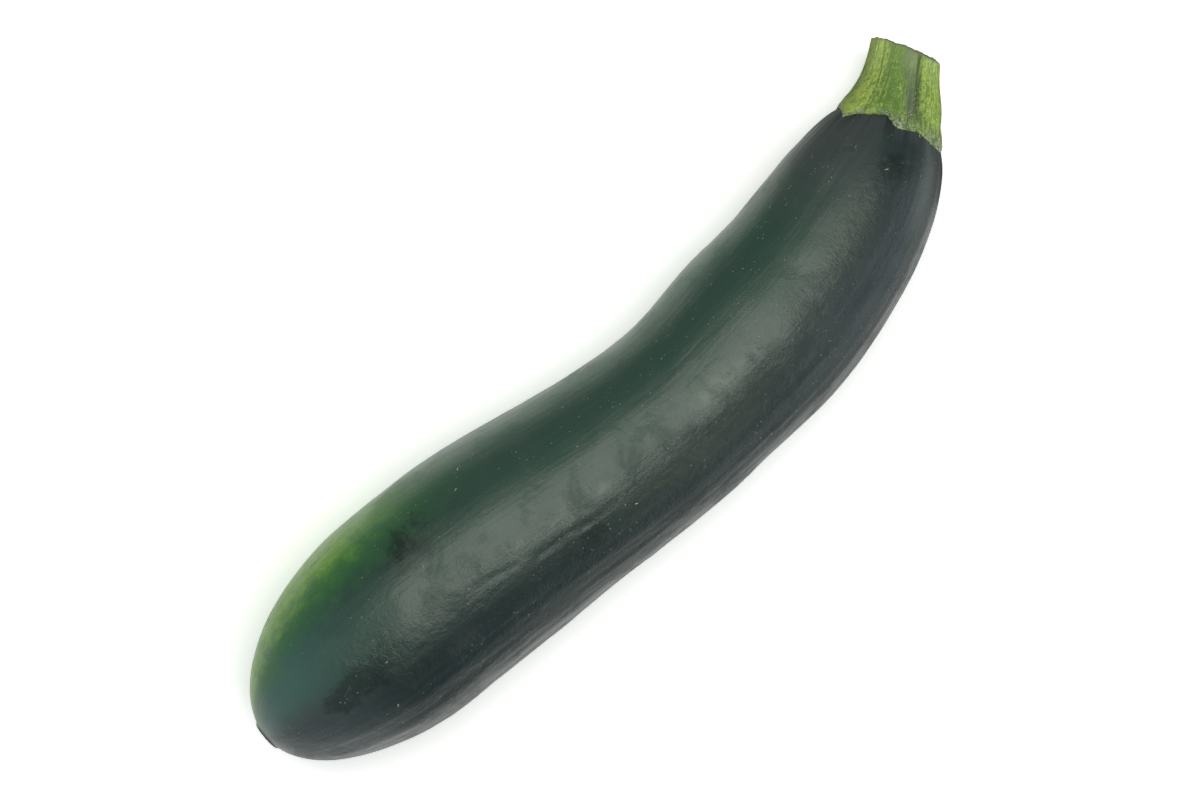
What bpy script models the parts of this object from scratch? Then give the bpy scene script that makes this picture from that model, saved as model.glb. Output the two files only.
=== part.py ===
"""A courgette as picked: the fruit lying on its side, and the stub of stalk that it was cut with.

Metres, +Z up. The fruit lies along X with its blossom end at -X and its stalk at +X, and bends in the
horizontal plane, hollow side towards +Y. The origin is under the middle of the whole, on the surface.
Everything is placed by two measures: the distance along the fruit's spine from its blossom end, and the
angle round the spine, counted from the -Y side over the top.
"""

from math import acos, atan2, pi, radians

import bmesh
import bpy
import numpy as np
from mathutils import Vector

# The spine: its heading in the horizontal plane, in degrees from +X, at distances along it. It starts a
# little before the fruit, for the scar that stands out of the blossom end.
HEADINGS = (
    (-0.002, -7.2),
    (0.000, -7.0),
    (0.030, -5.5),
    (0.060, -10.0),
    (0.090, -13.6),
    (0.112, -8.5),
    (0.130, -1.8),
    (0.148, 0.8),
    (0.165, 8.0),
    (0.182, 14.0),
    (0.198, 25.5),
    (0.208, 30.0),
    (0.222, 32.0),
)
SPINE_STEP = 0.0005

# The fruit: its length, the radius of its body, and how its two ends round off.
FRUIT_LENGTH = 0.204
BODY_RADII = (
    (0.000, 0.0244),
    (0.045, 0.0246),
    (0.068, 0.0243),
    (0.090, 0.0229),
    (0.110, 0.0218),
    (0.126, 0.0212),
    (0.144, 0.0220),
    (0.162, 0.0208),
    (0.204, 0.0206),
)
BLOSSOM_ROUNDING = 0.045
SHOULDER_ROUNDING = 0.044
FRUIT_ROWS = 56
FRUIT_SIDES = 50

# The corky scar that the flower left on the blossom end.
SCAR_RADIUS = 0.0034
SCAR_EDGE = 0.0007
SCAR_RISE = 0.0005
SCAR_DIP = 0.0007
SCAR_ROWS = 6

# Five ribs run down the stalk and die away along the fruit: their angles round the spine.
RIB_ANGLES = (radians(32), radians(84), radians(138), radians(207), radians(286))
RIDGE_SHARPNESS = 5.0
RIDGE_HEIGHTS = ((0.000, 0.006), (0.060, 0.010), (0.140, 0.016), (0.185, 0.036), (0.204, 0.050))
SWAY = 0.008

# Where the fruit rests: two heights of the spine, and the depth pressed flat under it.
SPINE_HEIGHTS = ((0.050, 0.0247), (0.144, 0.0215))
PRESSED_FLAT = 0.0005

# The stalk: from its foot on the fruit's shoulder to the slanting cut.
JOINT_GAP = 0.0007
FOOT_AT = 0.2020
FOOT_TILT = 0.0022
FOOT_LOBE = 0.0032
FOOT_LIP = 0.0002
STALK_CUT_AT = 0.2172
STALK_RADII = (
    (0.1950, 0.0142),
    (0.1985, 0.0130),
    (0.2020, 0.0119),
    (0.2060, 0.0106),
    (0.2100, 0.0094),
    (0.2140, 0.0088),
    (0.2190, 0.0086),
)
RIB_SHARPNESS = 9.0
RIB_DEPTHS = ((0.195, 0.10), (0.203, 0.20), (0.212, 0.17), (0.219, 0.15))
CUT_SLANT = radians(9)
CUT_RIM = 0.0006
CUT_DISH = 0.0009
UNDER_ROWS = 6
SIDE_ROWS = 15
CUT_ROWS = 6
STALK_SIDES = 60

SKIN_GREEN = (0.020, 0.048, 0.030)
STALK_GREEN = (0.210, 0.340, 0.060)


def smooth_through(stations, at):
    """The value at a distance, on a smooth curve through (distance, value) stations."""
    knots, values = np.array(stations).T
    slopes = np.gradient(values, knots)
    i = np.clip(np.searchsorted(knots, at) - 1, 0, len(knots) - 2)
    width = knots[i + 1] - knots[i]
    f = np.clip((at - knots[i]) / width, 0, 1)
    g = 1 - f
    ends = (1 + 2 * f) * g**2 * values[i] + (1 + 2 * g) * f**2 * values[i + 1]
    return ends + width * f * g * (g * slopes[i] - f * slopes[i + 1])


def spine_points():
    """The distances along the spine, and its points in the horizontal plane."""
    along = np.arange(HEADINGS[0][0], HEADINGS[-1][0] + SPINE_STEP / 2, SPINE_STEP)
    heading = np.radians(smooth_through(HEADINGS, along))
    steps = np.stack([np.cos(heading), np.sin(heading)], axis=1) * SPINE_STEP
    return along, np.concatenate([[[0, 0]], np.cumsum((steps[1:] + steps[:-1]) / 2, axis=0)])


SPINE_ALONG, SPINE_XY = spine_points()


def around_spine(along, angle, radius):
    """The point at this distance along the spine, angle round it and radius from it."""
    heading = radians(float(smooth_through(HEADINGS, along)))
    (low_at, low), (high_at, high) = SPINE_HEIGHTS
    height = low + (high - low) * (along - low_at) / (high_at - low_at)
    x, y = (float(np.interp(along, SPINE_ALONG, SPINE_XY[:, k])) for k in (0, 1))
    out = radius * np.cos(angle)
    return Vector((x + out * np.sin(heading), y - out * np.cos(heading), height + radius * np.sin(angle)))


def ribs(angle, sharpness):
    """1 on the crest of a rib and near 0 between two ribs."""
    return max(np.exp(sharpness * (np.cos(angle - rib) - 1)) for rib in RIB_ANGLES)


def fruit_radius(along, angle):
    """The fruit's radius: its body, rounded off at both ends, with the ridges that the ribs leave on it."""
    blossom = 1 - min(along / BLOSSOM_ROUNDING, 1)
    shoulder = max(1 - (FRUIT_LENGTH - along) / SHOULDER_ROUNDING, 0)
    rounded = max(1 - blossom**2, 0) ** (1 / 2) * max(1 - shoulder**2, 0) ** (1 / 3)
    ridge = smooth_through(RIDGE_HEIGHTS, along) * (ribs(angle, RIDGE_SHARPNESS) - 0.5)
    sway = SWAY * np.cos(2 * angle + 30 * along)
    return float(smooth_through(BODY_RADII, along) * rounded * (1 + ridge + sway))


def scar_relief(radius):
    """How far the blossom scar stands out of the fruit's end at this radius: a low disc, hollow in the middle."""
    edge = min(max((SCAR_RADIUS + SCAR_EDGE - radius) / SCAR_EDGE, 0), 1)
    return SCAR_RISE * edge * edge * (3 - 2 * edge) - SCAR_DIP * np.exp(-((2 * radius / SCAR_RADIUS) ** 2))


def fruit_along(row):
    """The distance along the spine of a row of the fruit's points: close rows on the scar, then even on the round."""
    on_scar = BLOSSOM_ROUNDING / 2 * ((SCAR_RADIUS + SCAR_EDGE) / BODY_RADII[0][1]) ** 2
    if row <= SCAR_ROWS:
        return on_scar * (row / SCAR_ROWS) ** 2
    start = acos(1 - 2 * on_scar / FRUIT_LENGTH)
    turn = start + (pi - start) * (row - SCAR_ROWS) / (FRUIT_ROWS - SCAR_ROWS)
    return FRUIT_LENGTH * (1 - np.cos(turn)) / 2


def fruit_point(row, angle):
    along = fruit_along(row)
    radius = fruit_radius(along, angle)
    return around_spine(along - scar_relief(radius), angle, radius)


def stalk_side(along, angle):
    """The stalk's radius: five ribs with hollows between them, flaring into the foot."""
    depth = smooth_through(RIB_DEPTHS, along)
    return float(smooth_through(STALK_RADII, along) * (1 - depth * (1 - ribs(angle, RIB_SHARPNESS))))


def stalk_point(row, angle):
    """Rows run from the middle of the foot's underside, out to its rim, up the side and in over the cut."""
    rim = FOOT_AT - FOOT_TILT * np.cos(angle) - FOOT_LOBE * ribs(angle, RIB_SHARPNESS)
    cut = STALK_CUT_AT - np.tan(CUT_SLANT) * stalk_side(STALK_CUT_AT, angle) * np.cos(angle)
    if row <= UNDER_ROWS:
        along = rim + (FRUIT_LENGTH - rim) * (1 - (row / UNDER_ROWS) ** 2)
        return around_spine(along + JOINT_GAP, angle, fruit_radius(along, angle))
    if row <= UNDER_ROWS + SIDE_ROWS:
        share = (row - UNDER_ROWS - 1) / (SIDE_ROWS - 1)
        along = rim + JOINT_GAP + (cut - CUT_RIM - rim - JOINT_GAP) * share
        lip = fruit_radius(rim, angle) + FOOT_LIP
        radius = stalk_side(along, angle)
        return around_spine(along, angle, radius + max(lip - radius, 0) * max(1 - 4 * share, 0))
    inward = 1 - (row - UNDER_ROWS - SIDE_ROWS) / CUT_ROWS
    dish = CUT_DISH * (1 - inward**2)
    radius = (stalk_side(cut, angle) - CUT_RIM) * inward
    slant = (cut - STALK_CUT_AT) * inward
    return around_spine(STALK_CUT_AT + slant - dish, angle, radius)


def principled(name, colour, roughness):
    material = bpy.data.materials.new(name)
    material.use_nodes = True
    shader = material.node_tree.nodes["Principled BSDF"]
    shader.inputs["Base Color"].default_value = (*colour, 1)
    shader.inputs["Roughness"].default_value = roughness
    shader.inputs["Metallic"].default_value = 0
    return material


def grown(name, rows, sides, point_at, material):
    """One closed solid: a sphere whose points are moved to point_at(row, angle), rows counted from pole to pole."""
    mesh = bpy.data.meshes.new(name)
    form = bmesh.new()
    bmesh.ops.create_uvsphere(form, u_segments=sides, v_segments=rows, radius=1)
    for point in form.verts:
        row = round(acos(max(-1.0, min(1.0, point.co.z))) / pi * rows)
        point.co = point_at(row, atan2(point.co.y, point.co.x))
    bmesh.ops.recalc_face_normals(form, faces=form.faces)
    form.to_mesh(mesh)
    form.free()
    mesh.shade_smooth()
    mesh.materials.append(material)
    thing = bpy.data.objects.new(name, mesh)
    return thing


def press_flat(thing):
    """Flattens the underside where it bears on the surface, and puts that flat at height 0."""
    for point in thing.data.vertices:
        point.co.z = max(point.co.z, PRESSED_FLAT) - PRESSED_FLAT


def centre_over_origin(things):
    """Moves the things sideways together, so that the origin is under the middle of their box."""
    corners = np.array([point.co for thing in things for point in thing.data.vertices])
    middle = (corners.min(axis=0) + corners.max(axis=0)) / 2
    for thing in things:
        for point in thing.data.vertices:
            point.co -= Vector((middle[0], middle[1], 0))


def main():
    for old in list(bpy.data.objects):
        bpy.data.objects.remove(old)
    courgette = bpy.data.collections.new("courgette")
    bpy.context.scene.collection.children.link(courgette)
    fruit = grown("fruit", FRUIT_ROWS, FRUIT_SIDES, fruit_point, principled("skin", SKIN_GREEN, 0.38))
    stalk_rows = UNDER_ROWS + SIDE_ROWS + CUT_ROWS
    stalk = grown("stalk", stalk_rows, STALK_SIDES, stalk_point, principled("stalk", STALK_GREEN, 0.6))
    for thing in (fruit, stalk):
        courgette.objects.link(thing)
        press_flat(thing)
    centre_over_origin((fruit, stalk))


main()
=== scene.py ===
"""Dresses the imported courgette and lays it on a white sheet.

A fine skin and a ribbed stalk take the place of the plain solids. Lenticels, nicks, scratches, crumbs
and prickles are scattered over them, and every surface gets a procedural material.

Lengths are in metres, and "along" is a distance along the spine from the blossom end. An angle round
the spine starts at the outer side of the bend, is a quarter turn at the top, and is half a turn at the
hollow side.
"""

from math import cos, pi, radians, sin, tan, tau
from types import SimpleNamespace

import bmesh
import bpy
import numpy as np
from mathutils import Matrix, Vector


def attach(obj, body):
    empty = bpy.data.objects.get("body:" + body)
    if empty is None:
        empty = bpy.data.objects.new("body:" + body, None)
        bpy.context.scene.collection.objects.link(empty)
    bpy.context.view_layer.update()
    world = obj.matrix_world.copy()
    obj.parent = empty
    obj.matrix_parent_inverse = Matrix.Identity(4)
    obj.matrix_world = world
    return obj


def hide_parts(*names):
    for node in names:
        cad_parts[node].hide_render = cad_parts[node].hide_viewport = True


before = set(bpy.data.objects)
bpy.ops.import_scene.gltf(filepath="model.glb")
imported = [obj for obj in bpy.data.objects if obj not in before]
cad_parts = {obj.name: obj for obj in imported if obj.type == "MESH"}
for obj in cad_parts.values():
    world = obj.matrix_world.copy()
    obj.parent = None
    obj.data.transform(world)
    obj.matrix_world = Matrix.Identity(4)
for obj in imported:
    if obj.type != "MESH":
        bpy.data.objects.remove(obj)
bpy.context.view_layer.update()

# ---------------------------------------- the fruit's form
# The spine's heading in the horizontal plane, in degrees from +X towards +Y: (along, heading).
HEADINGS = (
    (-0.002, -7.2),
    (0.000, -7.0),
    (0.030, -5.5),
    (0.060, -10.0),
    (0.090, -13.6),
    (0.112, -8.5),
    (0.130, -1.8),
    (0.148, 0.8),
    (0.165, 8.0),
    (0.182, 14.0),
    (0.198, 25.5),
    (0.208, 30.0),
    (0.222, 32.0),
)
SPINE_STEP = 0.0005
# Seen from the side, the spine is a straight line through these: (along, height).
SPINE_HEIGHTS = ((0.050, 0.0247), (0.144, 0.0215))

FRUIT_LENGTH = 0.204
# The body's radius before its ends are rounded off: (along, radius).
BODY_RADII = (
    (-0.002, 0.0244),
    (0.000, 0.0244),
    (0.045, 0.0246),
    (0.068, 0.0243),
    (0.090, 0.0229),
    (0.110, 0.0218),
    (0.126, 0.0212),
    (0.144, 0.0220),
    (0.162, 0.0208),
    (0.204, 0.0206),
    (0.222, 0.0206),
)
BLOSSOM_ROUNDING = 0.045
SHOULDER_ROUNDING = 0.044
BLOSSOM_POWER = 1 / 2
SHOULDER_POWER = 1 / 3
PRESSED_FLAT = 0.0005
# The box in plan is measured over this stretch of the fruit, at so many places along and round it.
PLAN_STRETCH = (0.0005, 0.1999)
PLAN_ALONG, PLAN_ROUND = 500, 361

# Five ribs run down the stalk and die away along the fruit, as ridges: (along, share of the radius).
RIB_ANGLES = (radians(32), radians(84), radians(138), radians(207), radians(286))
RIDGE_HEIGHTS = (
    (-0.002, 0.006),
    (0.060, 0.010),
    (0.140, 0.016),
    (0.185, 0.036),
    (0.204, 0.050),
    (0.222, 0.050),
)
RIDGE_SHARPNESS = 5.0
# The section is a little oval, and the oval turns along the fruit.
SWAY = 0.008
SWAY_TURN = 30.0

SKIN_ROWS = 380
SKIN_SIDES = 240
# What the fine skin has beyond the plain solid: a flatter scar, sharper ridges by the stalk, and relief.
SKIN_RELIEF = {
    "Scar Radius": 0.0034,
    "Scar Edge": 0.0007,
    "Scar Rise": 0.0004,
    "Scar Dip": 0.0007,
    "Shoulder Sharpness": 7.0,
    "Dent Height": 0.0013,
    "Wrinkle Height": 0.00030,
    "Leather Height": 0.00017,
    "Pucker Height": 0.0011,
    "Furrow Height": 0.0009,
    "Fold Depth": 0.00025,
    "Seed": 3.0,
}
# The relief's noise is laid out on a round of this radius, so that it has no seam.
NOISE_RADIUS = 0.0235

# ---------------------------------------- the stalk's form
# A swelling, and each other place that is set by an angle, is (height, middle, spread) with degrees.
FOOT_AT = 0.2020
FOOT_TILT = 0.0022
FOOT_LOBE = 0.0032
FOOT_SINK = 0.0005
FOOT_LIP = 0.0002
FOOT_LIP_SWELLING = (0.0005, 172, 18)
# Where the foot's edge reaches further down the shoulder than its lobes do, and where less far.
FOOT_REACHES = ((0.0030, 172, 20), (0.0024, 138, 13), (0.0013, 114, 8))
FOOT_GAPS = ((0.0014, 94, 9), (0.0006, 38, 16))
# Waves round the stalk are (count, phase).
RIM_WAVES = ((9, 0.4), (14, 2.1), (23, 5.0), (37, 1.2), (55, 3.3))
RIM_CRUMBLE = 0.0003
FIBRE_WAVES = ((23, 0.0), (37, 1.3), (52, 4.1), (71, 2.2))
FIBRE_SHARE = 0.014

STALK_RADII = (
    (0.1950, 0.0142),
    (0.1985, 0.0130),
    (0.2020, 0.0119),
    (0.2060, 0.0106),
    (0.2100, 0.0094),
    (0.2140, 0.0088),
    (0.2190, 0.0086),
)
RIB_SHARPNESS = 9.0
RIB_DEPTHS = ((0.195, 0.10), (0.203, 0.20), (0.212, 0.17), (0.219, 0.15))
STALK_LEAN = 0.00055
SIDE_FILL = (0.0007, 111, 10)
BULGE = (0.0007, 22, 20)
# The groove and the crease drift round the stalk as it rises: (degrees at the foot, degrees gained).
GROOVE_FROM = (49, 11)
GROOVE_TO = (80, 20)
CREASE_AT = (117, 11)
GROOVE_DEPTH = 0.0006
GROOVE_SLOPES = (radians(5), radians(16))
WALL_DEPTH = 0.0006
WALL_INSET = radians(3)
WALL_SPREAD = radians(3.4)
CREASE_DEPTH = 0.0004
CREASE_SPREAD = radians(2.2)
# Shares of the way up the side: the foot's flare, where the crease begins, and the bulge (middle, spread).
FLARE = 1 / 4
CREASE_BEGINS = (0.15, 0.6)
BULGE_AT = (0.45, 0.4)

STALK_CUT_AT = 0.2172
CUT_SLANT = radians(9)
CUT_WAVES = ((0.00009, 11, 1), (0.00005, 31, 0))
CUT_RIM = 0.0006
CUT_RIM_UNEVEN = 0.7
CUT_DISH = 0.0009
CUT_BROWNING = 0.0004

# How far the dry crust climbs from the foot: everywhere, more on the first rib, and in one swelling.
CRUST_CLIMB = 0.0009
CRUST_ON_RIB = 0.0024
CRUST_RIB_SHARPNESS = 6
CRUST_SWELLING = (0.0030, 72, 13)
CRUST_SHARPNESS = 16
# Between these angles the rind turns yellow, and stays so to the hollow side.
YELLOW_FROM, YELLOW_TO = radians(108), radians(128)
# Where it is greener than its ribs: (share of the yellow lost, middle, spread).
GREENER_PLACES = ((0.75, 92, 22), (0.85, 0, 17))

STALK_SIDES = 300
UNDER_ROWS = 8
SIDE_ROWS = 130
CUT_ROWS = 24


def smooth_through(stations, at):
    """The value at a distance, on a smooth curve through (distance, value) stations."""
    knots, values = np.array(stations).T
    slopes = np.gradient(values, knots)
    i = np.clip(np.searchsorted(knots, at) - 1, 0, len(knots) - 2)
    width = knots[i + 1] - knots[i]
    f = np.clip((at - knots[i]) / width, 0, 1)
    g = 1 - f
    ends = (1 + 2 * f) * g**2 * values[i] + (1 + 2 * g) * f**2 * values[i + 1]
    return ends + width * f * g * (g * slopes[i] - f * slopes[i + 1])


def spine_height(along):
    (low_at, low), (high_at, high) = SPINE_HEIGHTS
    return low + (high - low) * (along - low_at) / (high_at - low_at)


def spine_points():
    """The distances along the spine, its points and its headings."""
    along = np.arange(HEADINGS[0][0], HEADINGS[-1][0] + SPINE_STEP / 2, SPINE_STEP)
    heading = np.radians(smooth_through(HEADINGS, along))
    steps = np.stack([np.cos(heading), np.sin(heading)], axis=1) * SPINE_STEP
    flat = np.concatenate([[[0, 0]], np.cumsum((steps[1:] + steps[:-1]) / 2, axis=0)])
    flat -= flat[np.argmin(abs(along))]
    return along, np.column_stack([flat, spine_height(along)]), heading


SPINE_ALONG, SPINE, SPINE_TURN = spine_points()


def around_spine(along, angle, radius):
    """Points at distances along the spine, angles round it and radii from it."""
    heading = np.interp(along, SPINE_ALONG, SPINE_TURN)
    x, y, z = (np.interp(along, SPINE_ALONG, SPINE[:, k]) for k in range(3))
    out, lift = radius * np.cos(angle), radius * np.sin(angle)
    return np.stack([x + out * np.sin(heading), y - out * np.cos(heading), z + lift], axis=-1)


def ribs(angle, sharpness):
    """1 on the crest of a rib, and near 0 between two ribs."""
    return np.max([np.exp(sharpness * (np.cos(angle - rib) - 1)) for rib in RIB_ANGLES], axis=0)


def fruit_radius(along, angle):
    blossom = 1 - np.minimum(along / BLOSSOM_ROUNDING, 1)
    shoulder = np.maximum(1 - (FRUIT_LENGTH - along) / SHOULDER_ROUNDING, 0)
    rounded = np.maximum(1 - blossom**2, 0) ** BLOSSOM_POWER
    rounded = rounded * np.maximum(1 - shoulder**2, 0) ** SHOULDER_POWER
    ridge = smooth_through(RIDGE_HEIGHTS, along) * (ribs(angle, RIDGE_SHARPNESS) - 0.5)
    sway = SWAY * np.cos(2 * angle + SWAY_TURN * along)
    return smooth_through(BODY_RADII, along) * rounded * (1 + ridge + sway)


def stalk_side(along, angle):
    depth = smooth_through(RIB_DEPTHS, along)
    return smooth_through(STALK_RADII, along) * (1 - depth * (1 - ribs(angle, RIB_SHARPNESS)))


def foot_rim(angle):
    return FOOT_AT - FOOT_TILT * np.cos(angle) - FOOT_LOBE * ribs(angle, RIB_SHARPNESS)


def slanted_cut(angle):
    return STALK_CUT_AT - tan(CUT_SLANT) * stalk_side(STALK_CUT_AT, angle) * np.cos(angle)


def plan_middle():
    """The middle of the courgette's box in plan, before it is moved over the origin."""
    all_round = np.linspace(0, tau, PLAN_ROUND)
    along, angle = np.meshgrid(np.linspace(*PLAN_STRETCH, PLAN_ALONG), all_round)
    fruit = around_spine(along, angle, fruit_radius(along, angle)).reshape(-1, 3)
    cut = slanted_cut(all_round)
    stalk = around_spine(cut, all_round, stalk_side(cut, all_round) - CUT_RIM)
    corners = np.concatenate([fruit, stalk])
    return np.array([*(corners[:, :2].min(axis=0) + corners[:, :2].max(axis=0)) / 2, 0])


MIDDLE = plan_middle()

# ---------------------------------------- node helpers
FLOAT, WHOLE, VECTOR = "NodeSocketFloat", "NodeSocketInt", "NodeSocketVector"
SHAPE, SHADE = "NodeSocketGeometry", "NodeSocketMaterial"


class Net:
    """Adds nodes to a tree, and joins or sets their inputs in the same call."""

    def __init__(self, tree):
        self.tree = tree

    def add(self, kind, inputs=None, **settings):
        node = self.tree.nodes.new(kind)
        for name, value in settings.items():
            setattr(node, name, value)
        for key, value in (inputs or {}).items():
            self.feed(node.inputs[key], value)
        return node

    def feed(self, socket, value):
        if isinstance(value, bpy.types.NodeSocket):
            self.tree.links.new(value, socket)
        else:
            socket.default_value = value

    def group(self, tree, inputs):
        return self.add("ShaderNodeGroup", inputs, node_tree=tree).outputs

    def named_attribute(self, name):
        node = self.add("GeometryNodeInputNamedAttribute", {"Name": name}, data_type="FLOAT")
        return node.outputs[0]

    def math(self, operation, *values, clamp=False):
        node = self.add("ShaderNodeMath", operation=operation, use_clamp=clamp)
        for socket, value in zip(node.inputs, values):
            self.feed(socket, value)
        return node.outputs[0]

    def chain(self, operation, first, *others):
        for other in others:
            first = self.math(operation, first, other)
        return first

    def plus(self, *values):
        return self.chain("ADD", *values)

    def minus(self, *values):
        return self.chain("SUBTRACT", *values)

    def times(self, *values):
        return self.chain("MULTIPLY", *values)

    def times_plus(self, first, second, third):
        return self.math("MULTIPLY_ADD", first, second, third)

    def vector(self, operation, *values, scale=None):
        node = self.add("ShaderNodeVectorMath", operation=operation)
        for socket, value in zip(node.inputs, values):
            self.feed(socket, value)
        if scale is not None:
            self.feed(node.inputs["Scale"], scale)
        return node.outputs["Vector"]

    def combine(self, x, y, z):
        return self.add("ShaderNodeCombineXYZ", {"X": x, "Y": y, "Z": z}).outputs[0]

    def separate(self, vector):
        return self.add("ShaderNodeSeparateXYZ", {"Vector": vector}).outputs

    def noise(self, vector, scale, detail=3.0, roughness=0.5, distortion=0.0):
        inputs = {"Vector": vector, "Scale": scale, "Detail": detail, "Roughness": roughness,
                  "Distortion": distortion}
        return self.add("ShaderNodeTexNoise", inputs).outputs[0]

    def ramp(self, value, low, high, to_low=0.0, to_high=1.0, smooth=True):
        """The value's place from low to high, turned into one from to_low to to_high, level beyond."""
        inputs = {"Value": value, "From Min": low, "From Max": high, "To Min": to_low, "To Max": to_high}
        kind = "SMOOTHSTEP" if smooth else "LINEAR"
        return self.add("ShaderNodeMapRange", inputs, interpolation_type=kind).outputs[0]

    def bell(self, value, middle, spread):
        """1 at the middle, falling off on both sides like a bell."""
        off = self.math("DIVIDE", self.minus(value, middle), spread)
        return self.math("EXPONENT", self.times(off, off, -1.0))

    def mix(self, factor, first, second):
        node = self.add("ShaderNodeMix", data_type="RGBA")
        self.feed(node.inputs[0], factor)
        sockets = [s for s in node.inputs if s.type == "RGBA"]
        for socket, colour in zip(sockets, (first, second)):
            self.feed(socket, colour if isinstance(colour, bpy.types.NodeSocket) else (*colour, 1))
        return [s for s in node.outputs if s.type == "RGBA"][0]

    def tint(self, colour, towards, *masks):
        """The colour, drawn towards another as far as all the masks together let it."""
        return self.mix(self.times(*masks), colour, towards)


def new_tree(kind, name, inputs, outputs):
    """A node group. An input {label: value} is a number's default value, or else a kind of socket."""
    tree = bpy.data.node_groups.new(name, kind)
    for label, value in inputs.items():
        number = {int: WHOLE, float: FLOAT}.get(type(value))
        socket = tree.interface.new_socket(label, in_out="INPUT", socket_type=number or value)
        if number:
            socket.default_value = value
    for label, socket_kind in outputs.items():
        tree.interface.new_socket(label, in_out="OUTPUT", socket_type=socket_kind)
    net = Net(tree)
    return net, net.add("NodeGroupInput").outputs


def geometry_tree(name, inputs):
    """A modifier's node group, with Geometry in and out beside its other inputs."""
    net, given = new_tree("GeometryNodeTree", name, {"Geometry": SHAPE} | inputs, {"Geometry": SHAPE})
    net.tree.is_modifier = True
    return net, given


def end_tree(net, geometry, material):
    """Ends a tree as every one here ends: instances made real, then the material."""
    real = net.add("GeometryNodeRealizeInstances", {"Geometry": geometry})
    dressed = net.add("GeometryNodeSetMaterial", {"Geometry": real.outputs[0], "Material": material})
    net.add("NodeGroupOutput", {"Geometry": dressed.outputs[0]})


def linked(name, data):
    """A new object that holds the data, linked to the scene."""
    holder = bpy.data.objects.new(name, data)
    bpy.context.scene.collection.objects.link(holder)
    return holder


def made_by(tree, name, mesh, values):
    """Runs a tree on a mesh with these input values, and returns the result as a plain mesh object."""
    carrier = linked(name + "_source", mesh)
    modifier = carrier.modifiers.new(tree.name, "NODES")
    modifier.node_group = tree
    for item in tree.interface.items_tree:
        if item.item_type == "SOCKET" and item.in_out == "INPUT" and item.name in values:
            modifier[item.identifier] = values[item.name]
    bpy.context.view_layer.update()
    graph = bpy.context.evaluated_depsgraph_get()
    made = bpy.data.meshes.new_from_object(carrier.evaluated_get(graph), depsgraph=graph)
    carrier.modifiers.remove(modifier)
    bpy.data.objects.remove(carrier)
    made.name = name
    return linked(name, made)


# ---------------------------------------- the skin, grown along the spine
SKIN_SIZES = {
    "Rows": SKIN_ROWS + 1,
    "Sides": SKIN_SIDES + 1,
    "Length": FRUIT_LENGTH,
    "Spine Lead": float(-SPINE_ALONG[0]),
    "Blossom Rounding": BLOSSOM_ROUNDING,
    "Shoulder Rounding": SHOULDER_ROUNDING,
    "Ridge Sharpness": RIDGE_SHARPNESS,
    "Sway": SWAY,
    "Pressed Flat": PRESSED_FLAT,
} | SKIN_RELIEF


def spine_mesh():
    """The spine as a line of points that carry the body's radius and the ridges' height."""
    mesh = bpy.data.meshes.new("spine")
    points = SPINE - MIDDLE
    mesh.from_pydata(points.tolist(), [(i, i + 1) for i in range(len(points) - 1)], [])
    for name, stations in (("body_radius", BODY_RADII), ("ridge_height", RIDGE_HEIGHTS)):
        values = smooth_through(stations, SPINE_ALONG).astype(np.float32)
        mesh.attributes.new(name, "FLOAT", "POINT").data.foreach_set("value", values)
    return mesh


def skin_relief(net, given, along, crosswise, upright):
    """The growth marks on the skin, as a height over its smooth form."""
    on_round = net.combine(net.times(crosswise, NOISE_RADIUS), net.times(upright, NOISE_RADIUS), along)
    place = net.vector("ADD", net.combine(given["Seed"], 0.0, 0.0), on_round)

    def uneven(scale, detail, roughness=0.5, drawn_out=None):
        """Noise about 0, which may be drawn out lengthways."""
        where = net.vector("MULTIPLY", place, (1.0, 1.0, drawn_out)) if drawn_out else place
        return net.minus(net.noise(where, scale, detail, roughness), 0.5)

    # Wrinkles and a leathery grain come in patches, most of all on the outer side.
    patchy = net.ramp(net.noise(place, 60.0, 2.0), 0.46, 0.64)
    worn = net.times(patchy, net.ramp(net.times(crosswise, -1.0), 0.12, -0.10, 0.15, 1.0))
    wrinkle_height = net.times(given["Wrinkle Height"], worn)
    leather = net.times(uneven(620.0, 3.0, 0.6), worn)

    # Pleats are drawn in towards the stalk, and furrows run down the outer flank.
    pleats = net.times(uneven(560.0, 1.0, drawn_out=0.1), net.ramp(along, 0.183, 0.200))
    furrows = net.times(uneven(250.0, 2.0, drawn_out=0.06), net.ramp(crosswise, 0.25, 0.85))
    relief = net.times(uneven(38.0, 2.0), given["Dent Height"])
    relief = net.times_plus(uneven(420.0, 3.0, 0.55, drawn_out=0.22), wrinkle_height, relief)
    for marks, label in ((leather, "Leather"), (pleats, "Pucker"), (furrows, "Furrow")):
        relief = net.times_plus(marks, given[label + " Height"], relief)

    # One broken fold runs along the top, nearer to the blossom end.
    fold = net.bell(net.minus(crosswise, net.ramp(along, 0.055, 0.082, 0.20, 0.32)), 0.0, 0.035)
    fold = net.times(fold, net.times(net.ramp(along, 0.056, 0.064), net.ramp(along, 0.098, 0.086)))
    fold = net.times(fold, net.ramp(net.noise(place, 300.0, 2.0), 0.36, 0.56))
    fold = net.times(fold, net.math("GREATER_THAN", upright, 0.0))
    return net.minus(relief, net.times(fold, given["Fold Depth"]))


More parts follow.
